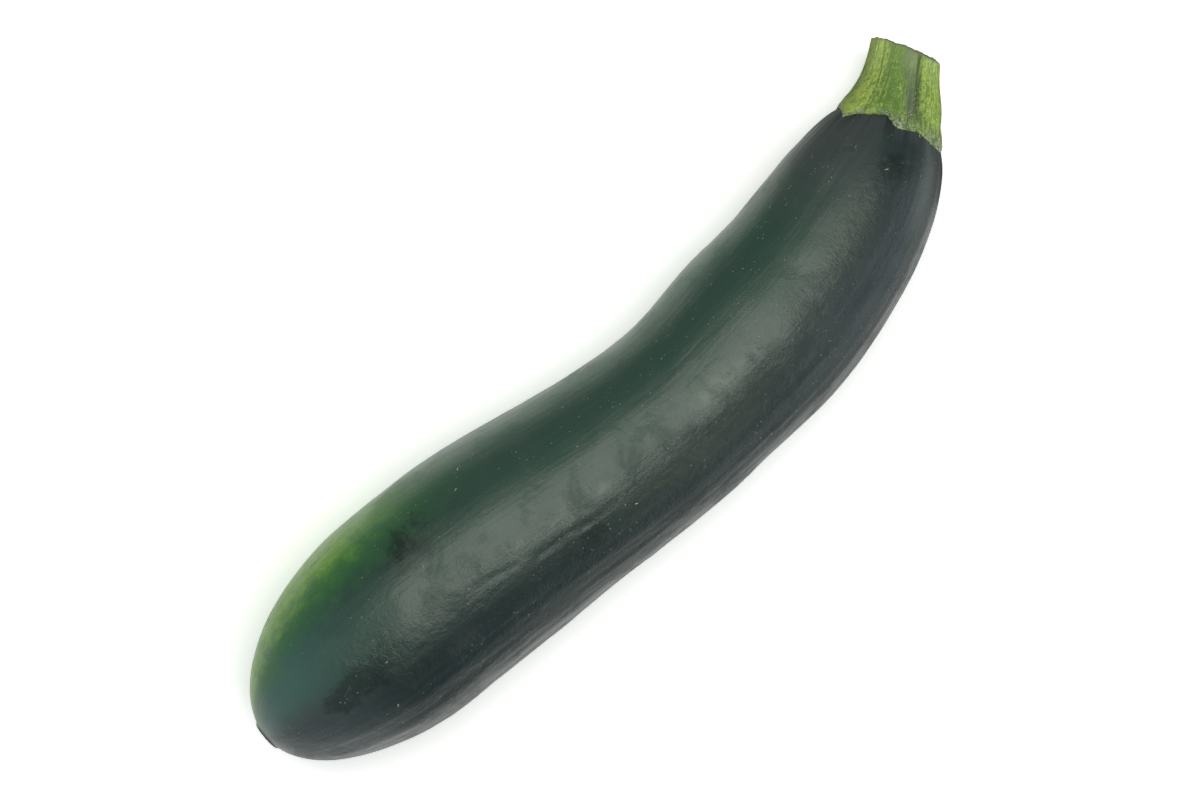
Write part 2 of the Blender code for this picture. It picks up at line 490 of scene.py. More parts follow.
def end_rounding(net, given, along):
    """The share of the body's radius that the rounding of the two ends leaves."""
    from_blossom = net.math("MINIMUM", net.math("DIVIDE", along, given["Blossom Rounding"]), 1.0)
    from_stalk = net.math("DIVIDE", net.minus(given["Length"], along), given["Shoulder Rounding"])

    def rounding(inset, power):
        rest = net.math("MAXIMUM", net.minus(1.0, net.times(inset, inset)), 0.0)
        return net.math("POWER", rest, power)

    at_shoulder = net.math("MAXIMUM", net.minus(1.0, from_stalk), 0.0)
    return net.times(rounding(net.minus(1.0, from_blossom), BLOSSOM_POWER),
                     rounding(at_shoulder, SHOULDER_POWER))


def skin_ridges(net, given, height, along, angle):
    """The ridges that the ribs leave on the fruit, sharper near the stalk, as a share of its radius."""
    near_stalk = net.ramp(along, 0.150, 0.200)
    sharpness = net.times_plus(near_stalk, given["Shoulder Sharpness"], given["Ridge Sharpness"])
    crest = 0.0
    for rib in RIB_ANGLES:
        lean = net.minus(net.math("COSINE", net.minus(angle, rib)), 1.0)
        crest = net.math("MAXIMUM", crest, net.math("EXPONENT", net.times(lean, sharpness)))
    return net.times(height, net.minus(crest, 0.5))


def skin_tree():
    net, given = geometry_tree("Grown Skin", SKIN_SIZES | {"Skin Material": SHADE})
    grid = net.add("GeometryNodeMeshGrid", {"Size X": 1.0, "Size Y": 1.0,
                                            "Vertices X": given["Rows"], "Vertices Y": given["Sides"]})
    share = net.separate(grid.outputs["UV Map"])
    closer_at_ends = net.times_plus(net.math("COSINE", net.times(share[0], pi)), -0.5, 0.5)
    along = net.times(given["Length"], closer_at_ends)
    angle = net.times(share[1], tau)
    crosswise, upright = net.math("COSINE", angle), net.math("SINE", angle)
    curve = net.add("GeometryNodeMeshToCurve", {"Mesh": given["Geometry"]}).outputs[0]

    def on_spine(name, distance):
        inputs = {"Curves": curve, "Value": net.named_attribute(name),
                  "Length": net.plus(distance, given["Spine Lead"])}
        return net.add("GeometryNodeSampleCurve", inputs, mode="LENGTH", data_type="FLOAT",
                       use_all_curves=True).outputs

    body = on_spine("body_radius", along)[0]
    ridges = skin_ridges(net, given, on_spine("ridge_height", along)[0], along, angle)
    swing = net.times_plus(along, SWAY_TURN, net.times(angle, 2.0))
    sway = net.times(net.math("COSINE", swing), given["Sway"])
    relief = net.math("DIVIDE", skin_relief(net, given, along, crosswise, upright), body)
    grown = net.plus(net.plus(1.0, ridges), net.plus(sway, relief))
    radius = net.times(body, end_rounding(net, given, along), grown)

    # The blossom scar is a low disc with a hollow middle, which moves points along the spine.
    to_edge = net.minus(net.plus(given["Scar Radius"], given["Scar Edge"]), radius)
    scar = net.ramp(net.math("DIVIDE", to_edge, given["Scar Edge"]), 0.0, 1.0)
    from_middle = net.math("DIVIDE", net.times(radius, 2.0), given["Scar Radius"])
    hollow = net.math("EXPONENT", net.times(from_middle, from_middle, -1.0))
    stand = net.minus(net.times(scar, given["Scar Rise"]), net.times(hollow, given["Scar Dip"]))
    spot = on_spine("body_radius", net.minus(along, stand))
    outward = net.vector("NORMALIZE", net.vector("CROSS_PRODUCT", spot["Tangent"], (0.0, 0.0, 1.0)))
    out = net.vector("SCALE", outward, scale=net.times(radius, crosswise))
    lift = net.combine(0.0, 0.0, net.times(radius, upright))
    x, y, z = net.separate(net.vector("ADD", spot["Position"], net.vector("ADD", out, lift)))[:3]
    z = net.minus(net.math("MAXIMUM", z, given["Pressed Flat"]), given["Pressed Flat"])

    def next_mesh(kind, inputs, **settings):
        return net.add("GeometryNode" + kind, inputs, **settings).outputs[0]

    mapped = net.combine(share[1], net.math("DIVIDE", along, given["Length"]), 0.0)
    mesh = next_mesh("StoreNamedAttribute",
                     {"Geometry": grid.outputs["Mesh"], "Name": "around_along", "Value": mapped},
                     data_type="FLOAT2", domain="CORNER")
    mesh = next_mesh("StoreNamedAttribute", {"Geometry": mesh, "Name": "scar", "Value": scar},
                     data_type="FLOAT", domain="POINT")
    mesh = next_mesh("SetPosition", {"Geometry": mesh, "Position": net.combine(x, y, z)})
    mesh = next_mesh("MergeByDistance", {"Geometry": mesh, "Distance": 1e-6})
    mesh = next_mesh("SetShadeSmooth", {"Geometry": mesh})
    end_tree(net, mesh, given["Skin Material"])
    return net.tree


# ---------------------------------------- shader groups that the materials share
def mottle_group():
    """Uneven growth: soft blotches and fine pale flecks, as masks."""
    net, given = new_tree(
        "ShaderNodeTree", "Mottle",
        {"Position": VECTOR, "Blotch Scale": 60.0, "Fleck Scale": 900.0, "Fleck Size": 0.2},
        {"Blotches": FLOAT, "Flecks": FLOAT})
    blotches = net.ramp(net.noise(given["Position"], given["Blotch Scale"], 4.0, 0.6, 0.4), 0.32, 0.68)
    cell = net.add("ShaderNodeTexVoronoi", {"Vector": given["Position"], "Scale": given["Fleck Scale"]},
                   feature="F1").outputs
    fleck = net.minus(1.0, net.ramp(cell["Distance"], 0.0, given["Fleck Size"]))
    kept = net.ramp(net.separate(cell["Color"])[0], 0.55, 0.95)
    net.add("NodeGroupOutput", {"Blotches": blotches, "Flecks": net.times(fleck, kept)})
    return net.tree


def fibre_group():
    """Streaks that run lengthways, from a map of (round, along)."""
    net, given = new_tree(
        "ShaderNodeTree", "Fibres",
        {"Map": VECTOR, "Streaks Round": 60.0, "Streaks Along": 3.0},
        {"Streaks": FLOAT})
    u, v = net.separate(given["Map"])[:2]
    angle = net.times(u, tau)
    ring = net.math("DIVIDE", given["Streaks Round"], tau)
    spot = net.combine(net.times(net.math("COSINE", angle), ring),
                       net.times(net.math("SINE", angle), ring),
                       net.times(v, given["Streaks Along"]))
    net.add("NodeGroupOutput", {"Streaks": net.noise(spot, 1.0, 4.0, 0.6)})
    return net.tree


def grain_group():
    """Leathery grain for a bump: coarse cells and fine pores together."""
    net, given = new_tree(
        "ShaderNodeTree", "Skin Grain",
        {"Position": VECTOR, "Cell Scale": 700.0, "Pore Scale": 2600.0, "Pore Share": 0.4},
        {"Height": FLOAT})
    cells = net.noise(given["Position"], given["Cell Scale"], 3.0, 0.55)
    pores = net.noise(given["Position"], given["Pore Scale"], 2.0, 0.6)
    net.add("NodeGroupOutput", {"Height": net.times_plus(pores, given["Pore Share"], cells)})
    return net.tree


MOTTLE, FIBRES, GRAIN = mottle_group(), fibre_group(), grain_group()
BUMP_DISTANCE = 0.0004


def material(name):
    """A new material: its net, its surface shader, and the object's coordinates."""
    made = bpy.data.materials.new(name)
    made.use_nodes = True
    net = Net(made.node_tree)
    shader = made.node_tree.nodes["Principled BSDF"]
    return made, net, shader, net.add("ShaderNodeTexCoord").outputs["Object"]


def mark(net, name):
    """A mask that a piece's points carry."""
    return net.add("ShaderNodeAttribute", attribute_name=name).outputs["Fac"]


def bumped(net, shader, height, strength):
    bump = net.add("ShaderNodeBump", {"Height": height, "Strength": strength, "Distance": BUMP_DISTANCE})
    net.feed(shader.inputs["Normal"], bump.outputs["Normal"])


# ---------------------------------------- the skin's colours and wear
# A place on the skin is v, the share of its length from the blossom end, and across, which is -1 at
# the outer side of the bend and 1 at the hollow side.
DEEP_GREEN = (0.028, 0.066, 0.051)
EDGE_GREEN = (0.042, 0.112, 0.068)
# Painted shade: a dark cool slate for the outer side of the bend and for a patch on the shoulder.
PAINTED_SHADE_SLATE = (0.010, 0.021, 0.022)
TEAL_GREEN = (0.022, 0.066, 0.055)
OLIVE_GREEN = (0.044, 0.058, 0.044)
# Dark green for the rubbed patches, and for the painted shadow in the pleats at the stalk's foot.
RUBBED_AND_SHADE_GREEN = (0.007, 0.016, 0.014)
LEAF_GREEN = (0.042, 0.165, 0.045)
YOUNG_GREEN = (0.165, 0.375, 0.018)
BLOSSOM_BLOOM = (0.080, 0.100, 0.112)
BLOSSOM_TEAL = (0.094, 0.192, 0.178)
SHOULDER_GREY = (0.054, 0.064, 0.067)
# Painted reflection: a lighter cool slate for light falling on the outer flank near the shoulder.
PAINTED_FLANK_LIGHT = (0.042, 0.050, 0.058)
PALE_BLOOM = (0.085, 0.108, 0.094)
# Pale scuffed wax, also a painted highlight where the sheen is brightest.
SCUFF_AND_SHEEN_WAX = (0.150, 0.182, 0.158)
# Painted highlight: a pale grey for the rib on the outer flank of the shoulder.
PAINTED_RIDGE_HIGHLIGHT = (0.108, 0.122, 0.124)
CORK = (0.085, 0.080, 0.055)
SCAR_ROUGHNESS = (0.8, 0.8, 0.8)
WAX_IOR = 1.48

# Dark patches where the bloom has been rubbed away: (v, across, length, width, how far it shows).
RUBBED_PATCHES = (
    (0.135, -0.24, 0.060, 0.22, 0.27),
    (0.262, 0.51, 0.045, 0.16, 0.205),
    (0.930, -0.24, 0.034, 0.30, 0.34),
    (0.420, -0.42, 0.050, 0.18, 0.16),
)
# Pale patches where the wax is scuffed, which also brighten the sheen along the top as a painted
# highlight: (v, across, length, strength). Their width follows their length.
SCUFF_AND_SHEEN_PATCHES = (
    (0.345, -0.16, 0.030, 0.40),
    (0.412, -0.16, 0.030, 0.45),
    (0.463, -0.14, 0.014, 0.40),
    (0.625, -0.08, 0.040, 0.65),
    (0.690, -0.10, 0.030, 0.28),
    (0.838, -0.03, 0.028, 0.10),
)
SCUFF_WIDTH = 3.6


def spot(on, v, across, long, wide):
    """1 at a place on the skin, falling off all round it."""
    return on.net.times(on.net.bell(on.v, v, long), on.net.bell(on.across, across, wide))


def wash(on, colour, towards, strength, **place):
    """The colour, drawn towards another at one place."""
    return on.net.tint(colour, towards, spot(on, **place), strength)


def grown_colours(on):
    """The greens that the fruit grew, from the bloom of its blossom end to its grey shoulder, with painted
    shade, a painted reflection and a painted highlight over its outer side and shoulder.
    """
    net, v, across, leaning = on.net, on.v, on.across, on.leaning
    # Painted shade and cool reflection: the outer side of the bend is slate, and the rest is deep green.
    colour = net.mix(net.ramp(leaning, -0.50, 0.20), PAINTED_SHADE_SLATE, DEEP_GREEN)
    colour = net.tint(colour, EDGE_GREEN, net.ramp(across, 0.66, 1.0))
    colour = wash(on, colour, OLIVE_GREEN, 0.60, v=0.58, across=-0.44, long=0.17, wide=0.16)
    colour = net.tint(colour, TEAL_GREEN, net.ramp(v, 0.30, 0.06), net.ramp(leaning, -0.35, 0.35))
    bloom = net.mix(net.ramp(leaning, -0.3, 0.3), BLOSSOM_BLOOM, BLOSSOM_TEAL)
    colour = net.tint(colour, bloom, net.ramp(v, 0.18, 0.04), 0.62)

    grey = net.times(net.ramp(v, 0.78, 0.94), net.ramp(leaning, -0.1, 0.25, 0.36, 0.88))
    grey = net.math("MAXIMUM", grey, net.ramp(v, 0.945, 0.975))
    colour = net.tint(colour, SHOULDER_GREY, grey)
    colour = wash(on, colour, OLIVE_GREEN, 0.50, v=0.845, across=-0.22, long=0.060, wide=0.22)
    # Painted shade on the shoulder, a little before the stalk's foot.
    colour = wash(on, colour, PAINTED_SHADE_SLATE, 0.72, v=0.920, across=-0.18, long=0.042, wide=0.27)
    # Painted highlight: a pale band along the rib on the outer flank, where the rib catches the light.
    ridge = net.bell(across, -0.74, 0.11)
    colour = net.tint(colour, PAINTED_RIDGE_HIGHLIGHT, net.ramp(v, 0.86, 0.92), ridge, 0.85)
    # Painted reflection: the outer flank towards the shoulder is lightened, as if lit from the side.
    colour = wash(on, colour, PAINTED_FLANK_LIGHT, 0.6, v=0.79, across=-0.50, long=0.13, wide=0.32)

    streaks = net.ramp(on.fibres, 0.48, 0.72)
    colour = net.tint(colour, PALE_BLOOM, streaks, net.ramp(v, 0.75, 0.9, 0.12, 0.02))
    # Painted shadow: dark streaks near the stalk's foot stand in for the shade under its lobes and in the
    # pleats.
    pleats = net.group(FIBRES, {"Map": on.map, "Streaks Round": 36.0, "Streaks Along": 9.0})["Streaks"]
    near_stalk = net.ramp(v, 0.940, 0.985, 0.0, 0.65)
    return net.tint(colour, RUBBED_AND_SHADE_GREEN, net.ramp(pleats, 0.45, 0.60), near_stalk)


def ground_side(on, colour):
    """The side that lay on the ground stayed pale, from the blossom end to the first third."""
    net, v = on.net, on.v
    blotchy = net.times(net.minus(net.noise(on.place, 170.0, 5.0, 0.70, 0.6), 0.5), 0.50)
    reach = net.plus(on.across, blotchy, net.times(on.wander, 0.35))
    inward = net.plus(reach, net.ramp(v, 0.0, 0.16, 0.07, 0.10))
    lengthways = net.ramp(net.plus(v, net.times(blotchy, 0.25)), 0.40, 0.17)
    halo = net.times(net.ramp(inward, 0.48, 0.88), lengthways)
    colour = net.tint(colour, LEAF_GREEN, halo, 0.9)
    heart = net.times(net.ramp(inward, 0.78, 1.00), net.ramp(v, 0.31, 0.18))
    mealy = net.ramp(net.noise(on.place, 520.0, 4.0, 0.65), 0.35, 0.65, 0.72, 1.0)
    veined = net.times(net.ramp(on.fibres, 0.30, 0.70, 0.70, 1.0), mealy)
    return net.tint(colour, YOUNG_GREEN, heart, veined)


def worn_wax(on, colour, bare):
    """Ragged dark patches where the bloom has been rubbed away, and pale ones where the wax is scuffed,
    which also serve as a painted highlight on the sheen.
    """
    net, place = on.net, on.place
    dim = spot(on, v=0.268, across=0.45, long=0.052, wide=0.17)
    colour = net.tint(colour, RUBBED_AND_SHADE_GREEN, dim, net.ramp(on.ragged, 0.36, 0.60, 0.25, 0.85))
    colour = net.tint(colour, RUBBED_AND_SHADE_GREEN, bare, 0.50)
    scuffed = net.ramp(net.noise(place, 88.0, 5.0, 0.7, 0.6), 0.56, 0.76)
    colour = net.tint(colour, PALE_BLOOM, scuffed, net.bell(on.across, -0.08, 0.28), 0.34)
    # The scuffed patches also lighten the sheen along the top, as a painted highlight.
    worst = 0.0
    for v, across, long, strength in SCUFF_AND_SHEEN_PATCHES:
        worst = net.times_plus(spot(on, v, across, long, SCUFF_WIDTH * long), strength, worst)
    crumbled = net.ramp(net.noise(place, 260.0, 6.0, 0.75, 0.6), 0.36, 0.62, 0.30, 1.0)
    return net.mix(net.math("MULTIPLY", worst, crumbled, clamp=True), colour, SCUFF_AND_SHEEN_WAX)


def skin_material():
    made, net, shader, place = material("courgette_skin")
    mapped = net.add("ShaderNodeUVMap", uv_map="around_along").outputs[0]
    u, v = net.separate(mapped)[:2]
    across = net.times(net.math("COSINE", net.times(u, tau)), -1.0)
    wander = net.times(net.minus(net.noise(place, 45.0, 3.0), 0.5), 0.35)
    mottle = net.group(MOTTLE, {"Position": place, "Blotch Scale": 75.0, "Fleck Scale": 760.0,
                                "Fleck Size": 0.22})
    on = SimpleNamespace(
        net=net, place=place, map=mapped, v=v, across=across, wander=wander,
        leaning=net.plus(across, wander), ragged=net.noise(place, 62.0, 6.0, 0.68, 0.4),
        fibres=net.group(FIBRES, {"Map": mapped, "Streaks Round": 95.0, "Streaks Along": 11.0})["Streaks"])

    smear = 0.0
    for at, turned, long, wide, height in RUBBED_PATCHES:
        smear = net.times_plus(spot(on, at, turned, long, wide), height, smear)
    bare = net.ramp(net.plus(smear, on.ragged), 0.65, 0.75)
    colour = worn_wax(on, ground_side(on, grown_colours(on)), bare)
    colour = net.tint(colour, PALE_BLOOM, mottle["Flecks"], 0.30)
    scar = mark(net, "scar")
    corky = net.ramp(mottle["Blotches"], 0.0, 0.7, 0.6, 1.0)
    net.feed(shader.inputs["Base Color"], net.tint(colour, CORK, scar, corky))

    # Handling has dulled the wax in patches.
    handled = net.ramp(net.noise(place, 110.0, 5.0, 0.65, 0.5), 0.42, 0.70)
    rough = net.times_plus(bare, -0.05, net.ramp(handled, 0.0, 1.0, 0.365, 0.495))
    roughness = net.mix(scar, net.combine(rough, rough, rough), SCAR_ROUGHNESS)
    net.feed(shader.inputs["Roughness"], roughness)
    shader.inputs["IOR"].default_value = WAX_IOR
    grain = net.group(GRAIN, {"Position": place, "Cell Scale": 640.0, "Pore Scale": 2300.0,
                              "Pore Share": 0.55})["Height"]
    firm = net.times(net.ramp(on.leaning, -0.20, 0.25, 1.0, 0.30), net.ramp(handled, 0.0, 1.0, 0.6, 1.0))
    bumped(net, shader, net.times_plus(on.fibres, 0.5, net.times(grain, firm)), 0.5)
    return made


def fleck_material(name, colour, roughness):
    """Cork, dry skin or scraped wax, with a little unevenness."""
    made, net, shader, place = material(name)
    mottle = net.group(MOTTLE, {"Position": place, "Blotch Scale": 500.0, "Fleck Scale": 2500.0,
                                "Fleck Size": 0.3})
    darker = tuple(0.55 * c for c in colour)
    net.feed(shader.inputs["Base Color"], net.mix(mottle["Blotches"], darker, colour))
    shader.inputs["Roughness"].default_value = roughness
    return made


# ---------------------------------------- the stalk's colours
YELLOW_RIB = (0.450, 0.590, 0.120)
GREEN_FACE = (0.160, 0.285, 0.062)
SHADY_GREEN = (0.095, 0.190, 0.030)
GREY_GROOVE = (0.110, 0.145, 0.096)
# Painted shade for the groove's steep wall and the crease on the stalk.
CREASE_SHADE = (0.026, 0.045, 0.022)
DRY_EDGE = (0.250, 0.260, 0.150)
PALE_FIBRE = (0.230, 0.280, 0.170)
PALE_CRUST = (0.400, 0.455, 0.330)
FOOT_GREEN = (0.060, 0.095, 0.045)
BLEACHED_TIP = (0.620, 0.800, 0.300)
STALK_MARKS = ("crest", "groove", "seam", "crust", "cut")


def stalk_material():
    made, net, shader, place = material("stalk_rind")
    mapped = net.add("ShaderNodeUVMap", uv_map="around_along").outputs[0]
    crest, groove, seam, crust, cut = (mark(net, name) for name in STALK_MARKS)
    mottle = net.group(MOTTLE, {"Position": place, "Blotch Scale": 520.0, "Fleck Scale": 1500.0,
                                "Fleck Size": 0.35})
    fibres = net.group(FIBRES, {"Map": mapped, "Streaks Round": 110.0, "Streaks Along": 7.0})["Streaks"]
    dashes = net.group(FIBRES, {"Map": mapped, "Streaks Round": 150.0, "Streaks Along": 210.0})["Streaks"]

    # Yellow ribs and green faces, both streaky, blotchy and specked.
    streak = net.ramp(net.times_plus(dashes, 0.8, net.times(fibres, 0.6)), 0.55, 0.85)
    tone = net.plus(crest, net.times(net.minus(streak, 0.5), 0.95))
    colour = net.mix(net.ramp(tone, 0.15, 0.95), GREEN_FACE, YELLOW_RIB)
    colour = net.tint(colour, SHADY_GREEN, net.ramp(mottle["Blotches"], 0.45, 0.9), 0.42)
    specks = net.ramp(net.noise(place, 2100.0, 3.0, 0.6), 0.52, 0.66)
    colour = net.tint(colour, SHADY_GREEN, specks, 0.70)

    # A grey groove with pale fibres in it, and ribs that are bleached towards the cut.
    colour = net.tint(colour, GREY_GROOVE, groove, net.ramp(mottle["Blotches"], 0.0, 1.0, 1.0, 0.6))
    in_groove = net.ramp(groove, 0.0, 1.0, 0.10, 0.75)
    colour = net.tint(colour, PALE_FIBRE, net.ramp(fibres, 0.54, 0.64), in_groove)
    tips = net.times_plus(groove, 0.10, net.times(crest, 0.35))
    up_stalk = net.ramp(net.separate(mapped)[1], 1.015, 1.060)
    colour = net.tint(colour, BLEACHED_TIP, tips, up_stalk)
    # Painted shade in the groove's wall and in the crease, over the shade that their depth casts.
    colour = net.tint(colour, CREASE_SHADE, seam, 0.48)
    colour = net.tint(colour, PALE_FIBRE, mottle["Flecks"], 0.40)

    # The foot's crust, and the edge of the cut.
    colour = net.tint(colour, FOOT_GREEN, crust, 0.85)
    crumbs = net.ramp(net.noise(place, 1200.0, 4.0, 0.65), 0.50, 0.57)
    colour = net.tint(colour, PALE_CRUST, crust, crumbs)
    net.feed(shader.inputs["Base Color"], net.tint(colour, DRY_EDGE, cut))
    net.feed(shader.inputs["Roughness"], net.ramp(fibres, 0.3, 0.7, 0.48, 0.68))
    grain = net.group(GRAIN, {"Position": place, "Cell Scale": 1100.0, "Pore Scale": 3600.0,
                              "Pore Share": 0.5})["Height"]
    bumped(net, shader, net.times_plus(fibres, 2.4, grain), 0.7)
    return made


# ---------------------------------------- the stalk
def closed_rows(name, points, mapped, values):
    """A closed mesh from rows of points round an axis. The first and the last row are its poles."""
    rows, sides = points.shape[:2]
    mesh = bpy.data.meshes.new(name)
    form = bmesh.new()
    map_layer = form.loops.layers.uv.new("around_along")
    layers = {key: form.verts.layers.float.new(key) for key in values}
    rings = [[form.verts.new(points[r, s]) for s in range(sides)] for r in range(1, rows - 1)]
    poles = form.verts.new(points[0, 0]), form.verts.new(points[-1, 0])
    for key, layer in layers.items():
        for r, ring in enumerate(rings):
            for s, vert in enumerate(ring):
                vert[layer] = values[key][r + 1, s]
        poles[0][layer], poles[1][layer] = values[key][0, 0], values[key][-1, 0]

    def face(verts, places):
        made = form.faces.new(verts)
        for loop, (row, side) in zip(made.loops, places):
            loop[map_layer].uv = (side / sides, mapped[row, side % sides])

    for r in range(len(rings) - 1):
        for s in range(sides):
            t = (s + 1) % sides
            face((rings[r][s], rings[r + 1][s], rings[r + 1][t], rings[r][t]),
                 ((r + 1, s), (r + 2, s), (r + 2, s + 1), (r + 1, s + 1)))
    for s in range(sides):
        t = (s + 1) % sides
        face((poles[0], rings[0][s], rings[0][t]), ((0, s), (1, s), (1, s + 1)))
        face((poles[1], rings[-1][t], rings[-1][s]), ((rows - 1, s), (rows - 2, s + 1), (rows - 2, s)))
    bmesh.ops.recalc_face_normals(form, faces=form.faces)
    form.to_mesh(mesh)
    form.free()
    mesh.shade_smooth()
    return linked(name, mesh)


def bell(value, middle, spread):
    return np.exp(-(((value - middle) / spread) ** 2))


def swellings(angle, *each):
    """The height at an angle of swellings, each (height, middle, spread) with its angles in degrees."""
    return sum(height * bell(angle, radians(middle), radians(spread)) for height, middle, spread in each)


def step(value, low, high):
    part = np.clip((value - low) / (high - low), 0, 1)
    return part * part * (3 - 2 * part)


def drifting(angles, share):
    """An angle that drifts round the stalk, at a share of the way up."""
    at_foot, gained = angles
    return radians(at_foot + gained * share)


def grown_rim(angle):
    """The foot's edge: the ribs' lobes, uneven from side to side and crumbled a little."""
    crumbled = sum(np.cos(count * angle + phase) / count**0.7 for count, phase in RIM_WAVES)
    grown = foot_rim(angle) - swellings(angle, *FOOT_REACHES) + swellings(angle, *FOOT_GAPS)
    return grown + RIM_CRUMBLE * crumbled


def stalk_lean(angle, share):
    """The stalk's upper end stands a little to its outer side."""
    return STALK_LEAN * np.cos(angle) * step(share, 0.0, 0.5)


def side_row(angle, rim, top, share):
    """A row of the stalk's side: where it is, its radius and its marks, at a share of the way up."""
    at = rim - FOOT_SINK + (top - rim + FOOT_SINK) * share
    lip = fruit_radius(rim, angle) + FOOT_LIP + swellings(angle, FOOT_LIP_SWELLING)
    radius = stalk_side(at, angle) + stalk_lean(angle, share)
    radius = radius + np.maximum(lip - radius, 0) * max(1 - share / FLARE, 0)
    upper = min(share / FLARE, 1)

    low, high = drifting(GROOVE_FROM, share), drifting(GROOVE_TO, share)
    steep, gentle = GROOVE_SLOPES
    groove = step(angle, low, low + steep) * (1 - step(angle, high - gentle, high))
    wall = bell(angle, low + WALL_INSET, WALL_SPREAD)
    crease = bell(angle, drifting(CREASE_AT, share), CREASE_SPREAD) * step(share, *CREASE_BEGINS)
    fibres = sum(np.cos(count * angle + phase) for count, phase in FIBRE_WAVES) / len(FIBRE_WAVES)
    radius = radius * (1 + FIBRE_SHARE * fibres * upper)
    radius = radius - (WALL_DEPTH * wall + CREASE_DEPTH * crease + GROOVE_DEPTH * groove) * upper
    radius = radius + swellings(angle, BULGE) * bell(share, *BULGE_AT) + swellings(angle, SIDE_FILL)

    climb = CRUST_CLIMB + CRUST_ON_RIB * np.exp(CRUST_RIB_SHARPNESS * (np.cos(angle - RIB_ANGLES[0]) - 1))
    climb = climb + swellings(angle, CRUST_SWELLING)
    yellow = 0.9 * step(angle, YELLOW_FROM, YELLOW_TO) * (angle < pi)
    crest = np.maximum(ribs(angle, RIB_SHARPNESS), yellow)
    for place in GREENER_PLACES:
        crest = crest * (1 - swellings(angle, place))
    return at, radius, {
        "crest": crest,
        "groove": groove * step(share, 0.02, 0.30),
        # The seam mask marks where shade is painted: the groove's wall and the crease.
        "seam": np.maximum(wall, 0.8 * crease) * upper,
        "crust": np.clip(1.1 - (at - rim) / climb, 0, 1) * ribs(angle, CRUST_SHARPNESS),
        "cut": 0.8 * np.clip(1 - (top - at) / CUT_BROWNING, 0, 1),
    }


def stalk_piece():
    angle = np.linspace(0, tau, STALK_SIDES, endpoint=False)
    rim, cut = grown_rim(angle), slanted_cut(angle)
    for height, count, phase in CUT_WAVES:
        cut = cut + height * np.cos(count * angle + phase)
    edge = CUT_RIM * (1 + CUT_RIM_UNEVEN * np.cos(angle))
    rows = []
    for row in range(UNDER_ROWS + 1):
        at = rim + (FRUIT_LENGTH - rim) * (1 - (row / UNDER_ROWS) ** 2)
        rows.append((at - FOOT_SINK, fruit_radius(at, angle), {}, at))
    for row in range(SIDE_ROWS):
        at, radius, marks = side_row(angle, rim, cut - edge, row / (SIDE_ROWS - 1))
        rows.append((at, radius, marks, at))
    for row in range(1, CUT_ROWS + 1):
        inward = 1 - row / CUT_ROWS
        at = STALK_CUT_AT + (cut - STALK_CUT_AT) * inward - CUT_DISH * (1 - inward**2)
        radius = (stalk_side(cut, angle) + stalk_lean(angle, 1) - edge) * inward
        rows.append((at, radius, {"cut": 1}, at))
    points = np.array([around_spine(at, angle, radius) for at, radius, *_ in rows]) - MIDDLE
    mapped = np.array([at for *_, at in rows]) / FRUIT_LENGTH
    values = {key: np.array([marks.get(key, 0) + 0 * angle for _, _, marks, _ in rows])
              for key in STALK_MARKS}
    return closed_rows("stalk_fine", points, mapped, values)


# ---------------------------------------- what is scattered over the surface
GRAIN_SIZES = {
    "Per Square Metre": 10000.0, "Grain Length": 0.0005, "Grain Width": 0.0002, "Grain Height": 0.00006,
    "Turn Spread": 0.5, "Size Spread": 0.5, "Patch Scale": 60.0, "Patch Level": 0.5, "Lowest": 0.0,
    "Seed": 1,
}
# Each kind of grain, in the order of the sizes above.
LENTICELS = (110000.0, 0.00034, 0.00020, 0.00005, 0.9, 0.6, 70.0, 0.49, 0.002, 4)
NICKS = (2600.0, 0.00075, 0.00024, 0.00006, 0.9, 0.6, 40.0, 0.50, 0.002, 11)
SCRATCHES = (5000.0, 0.0026, 0.00009, 0.00005, 0.5, 0.6, 30.0, 0.50, 0.002, 23)
FOOT_CRUST = (7.0e6, 0.00044, 0.00032, 0.00022, 3.1, 0.5, 260.0, 0.42, 0.0, 5)
PRICKLES = (2.2e6, 0.00030, 0.00018, 0.00022, 0.8, 0.6, 300.0, 0.52, 0.0, 9)
PATCH_EDGE = 0.06
CUT_IS_BARE = 0.2
PRICKLES_OFF_GROOVE = 0.12


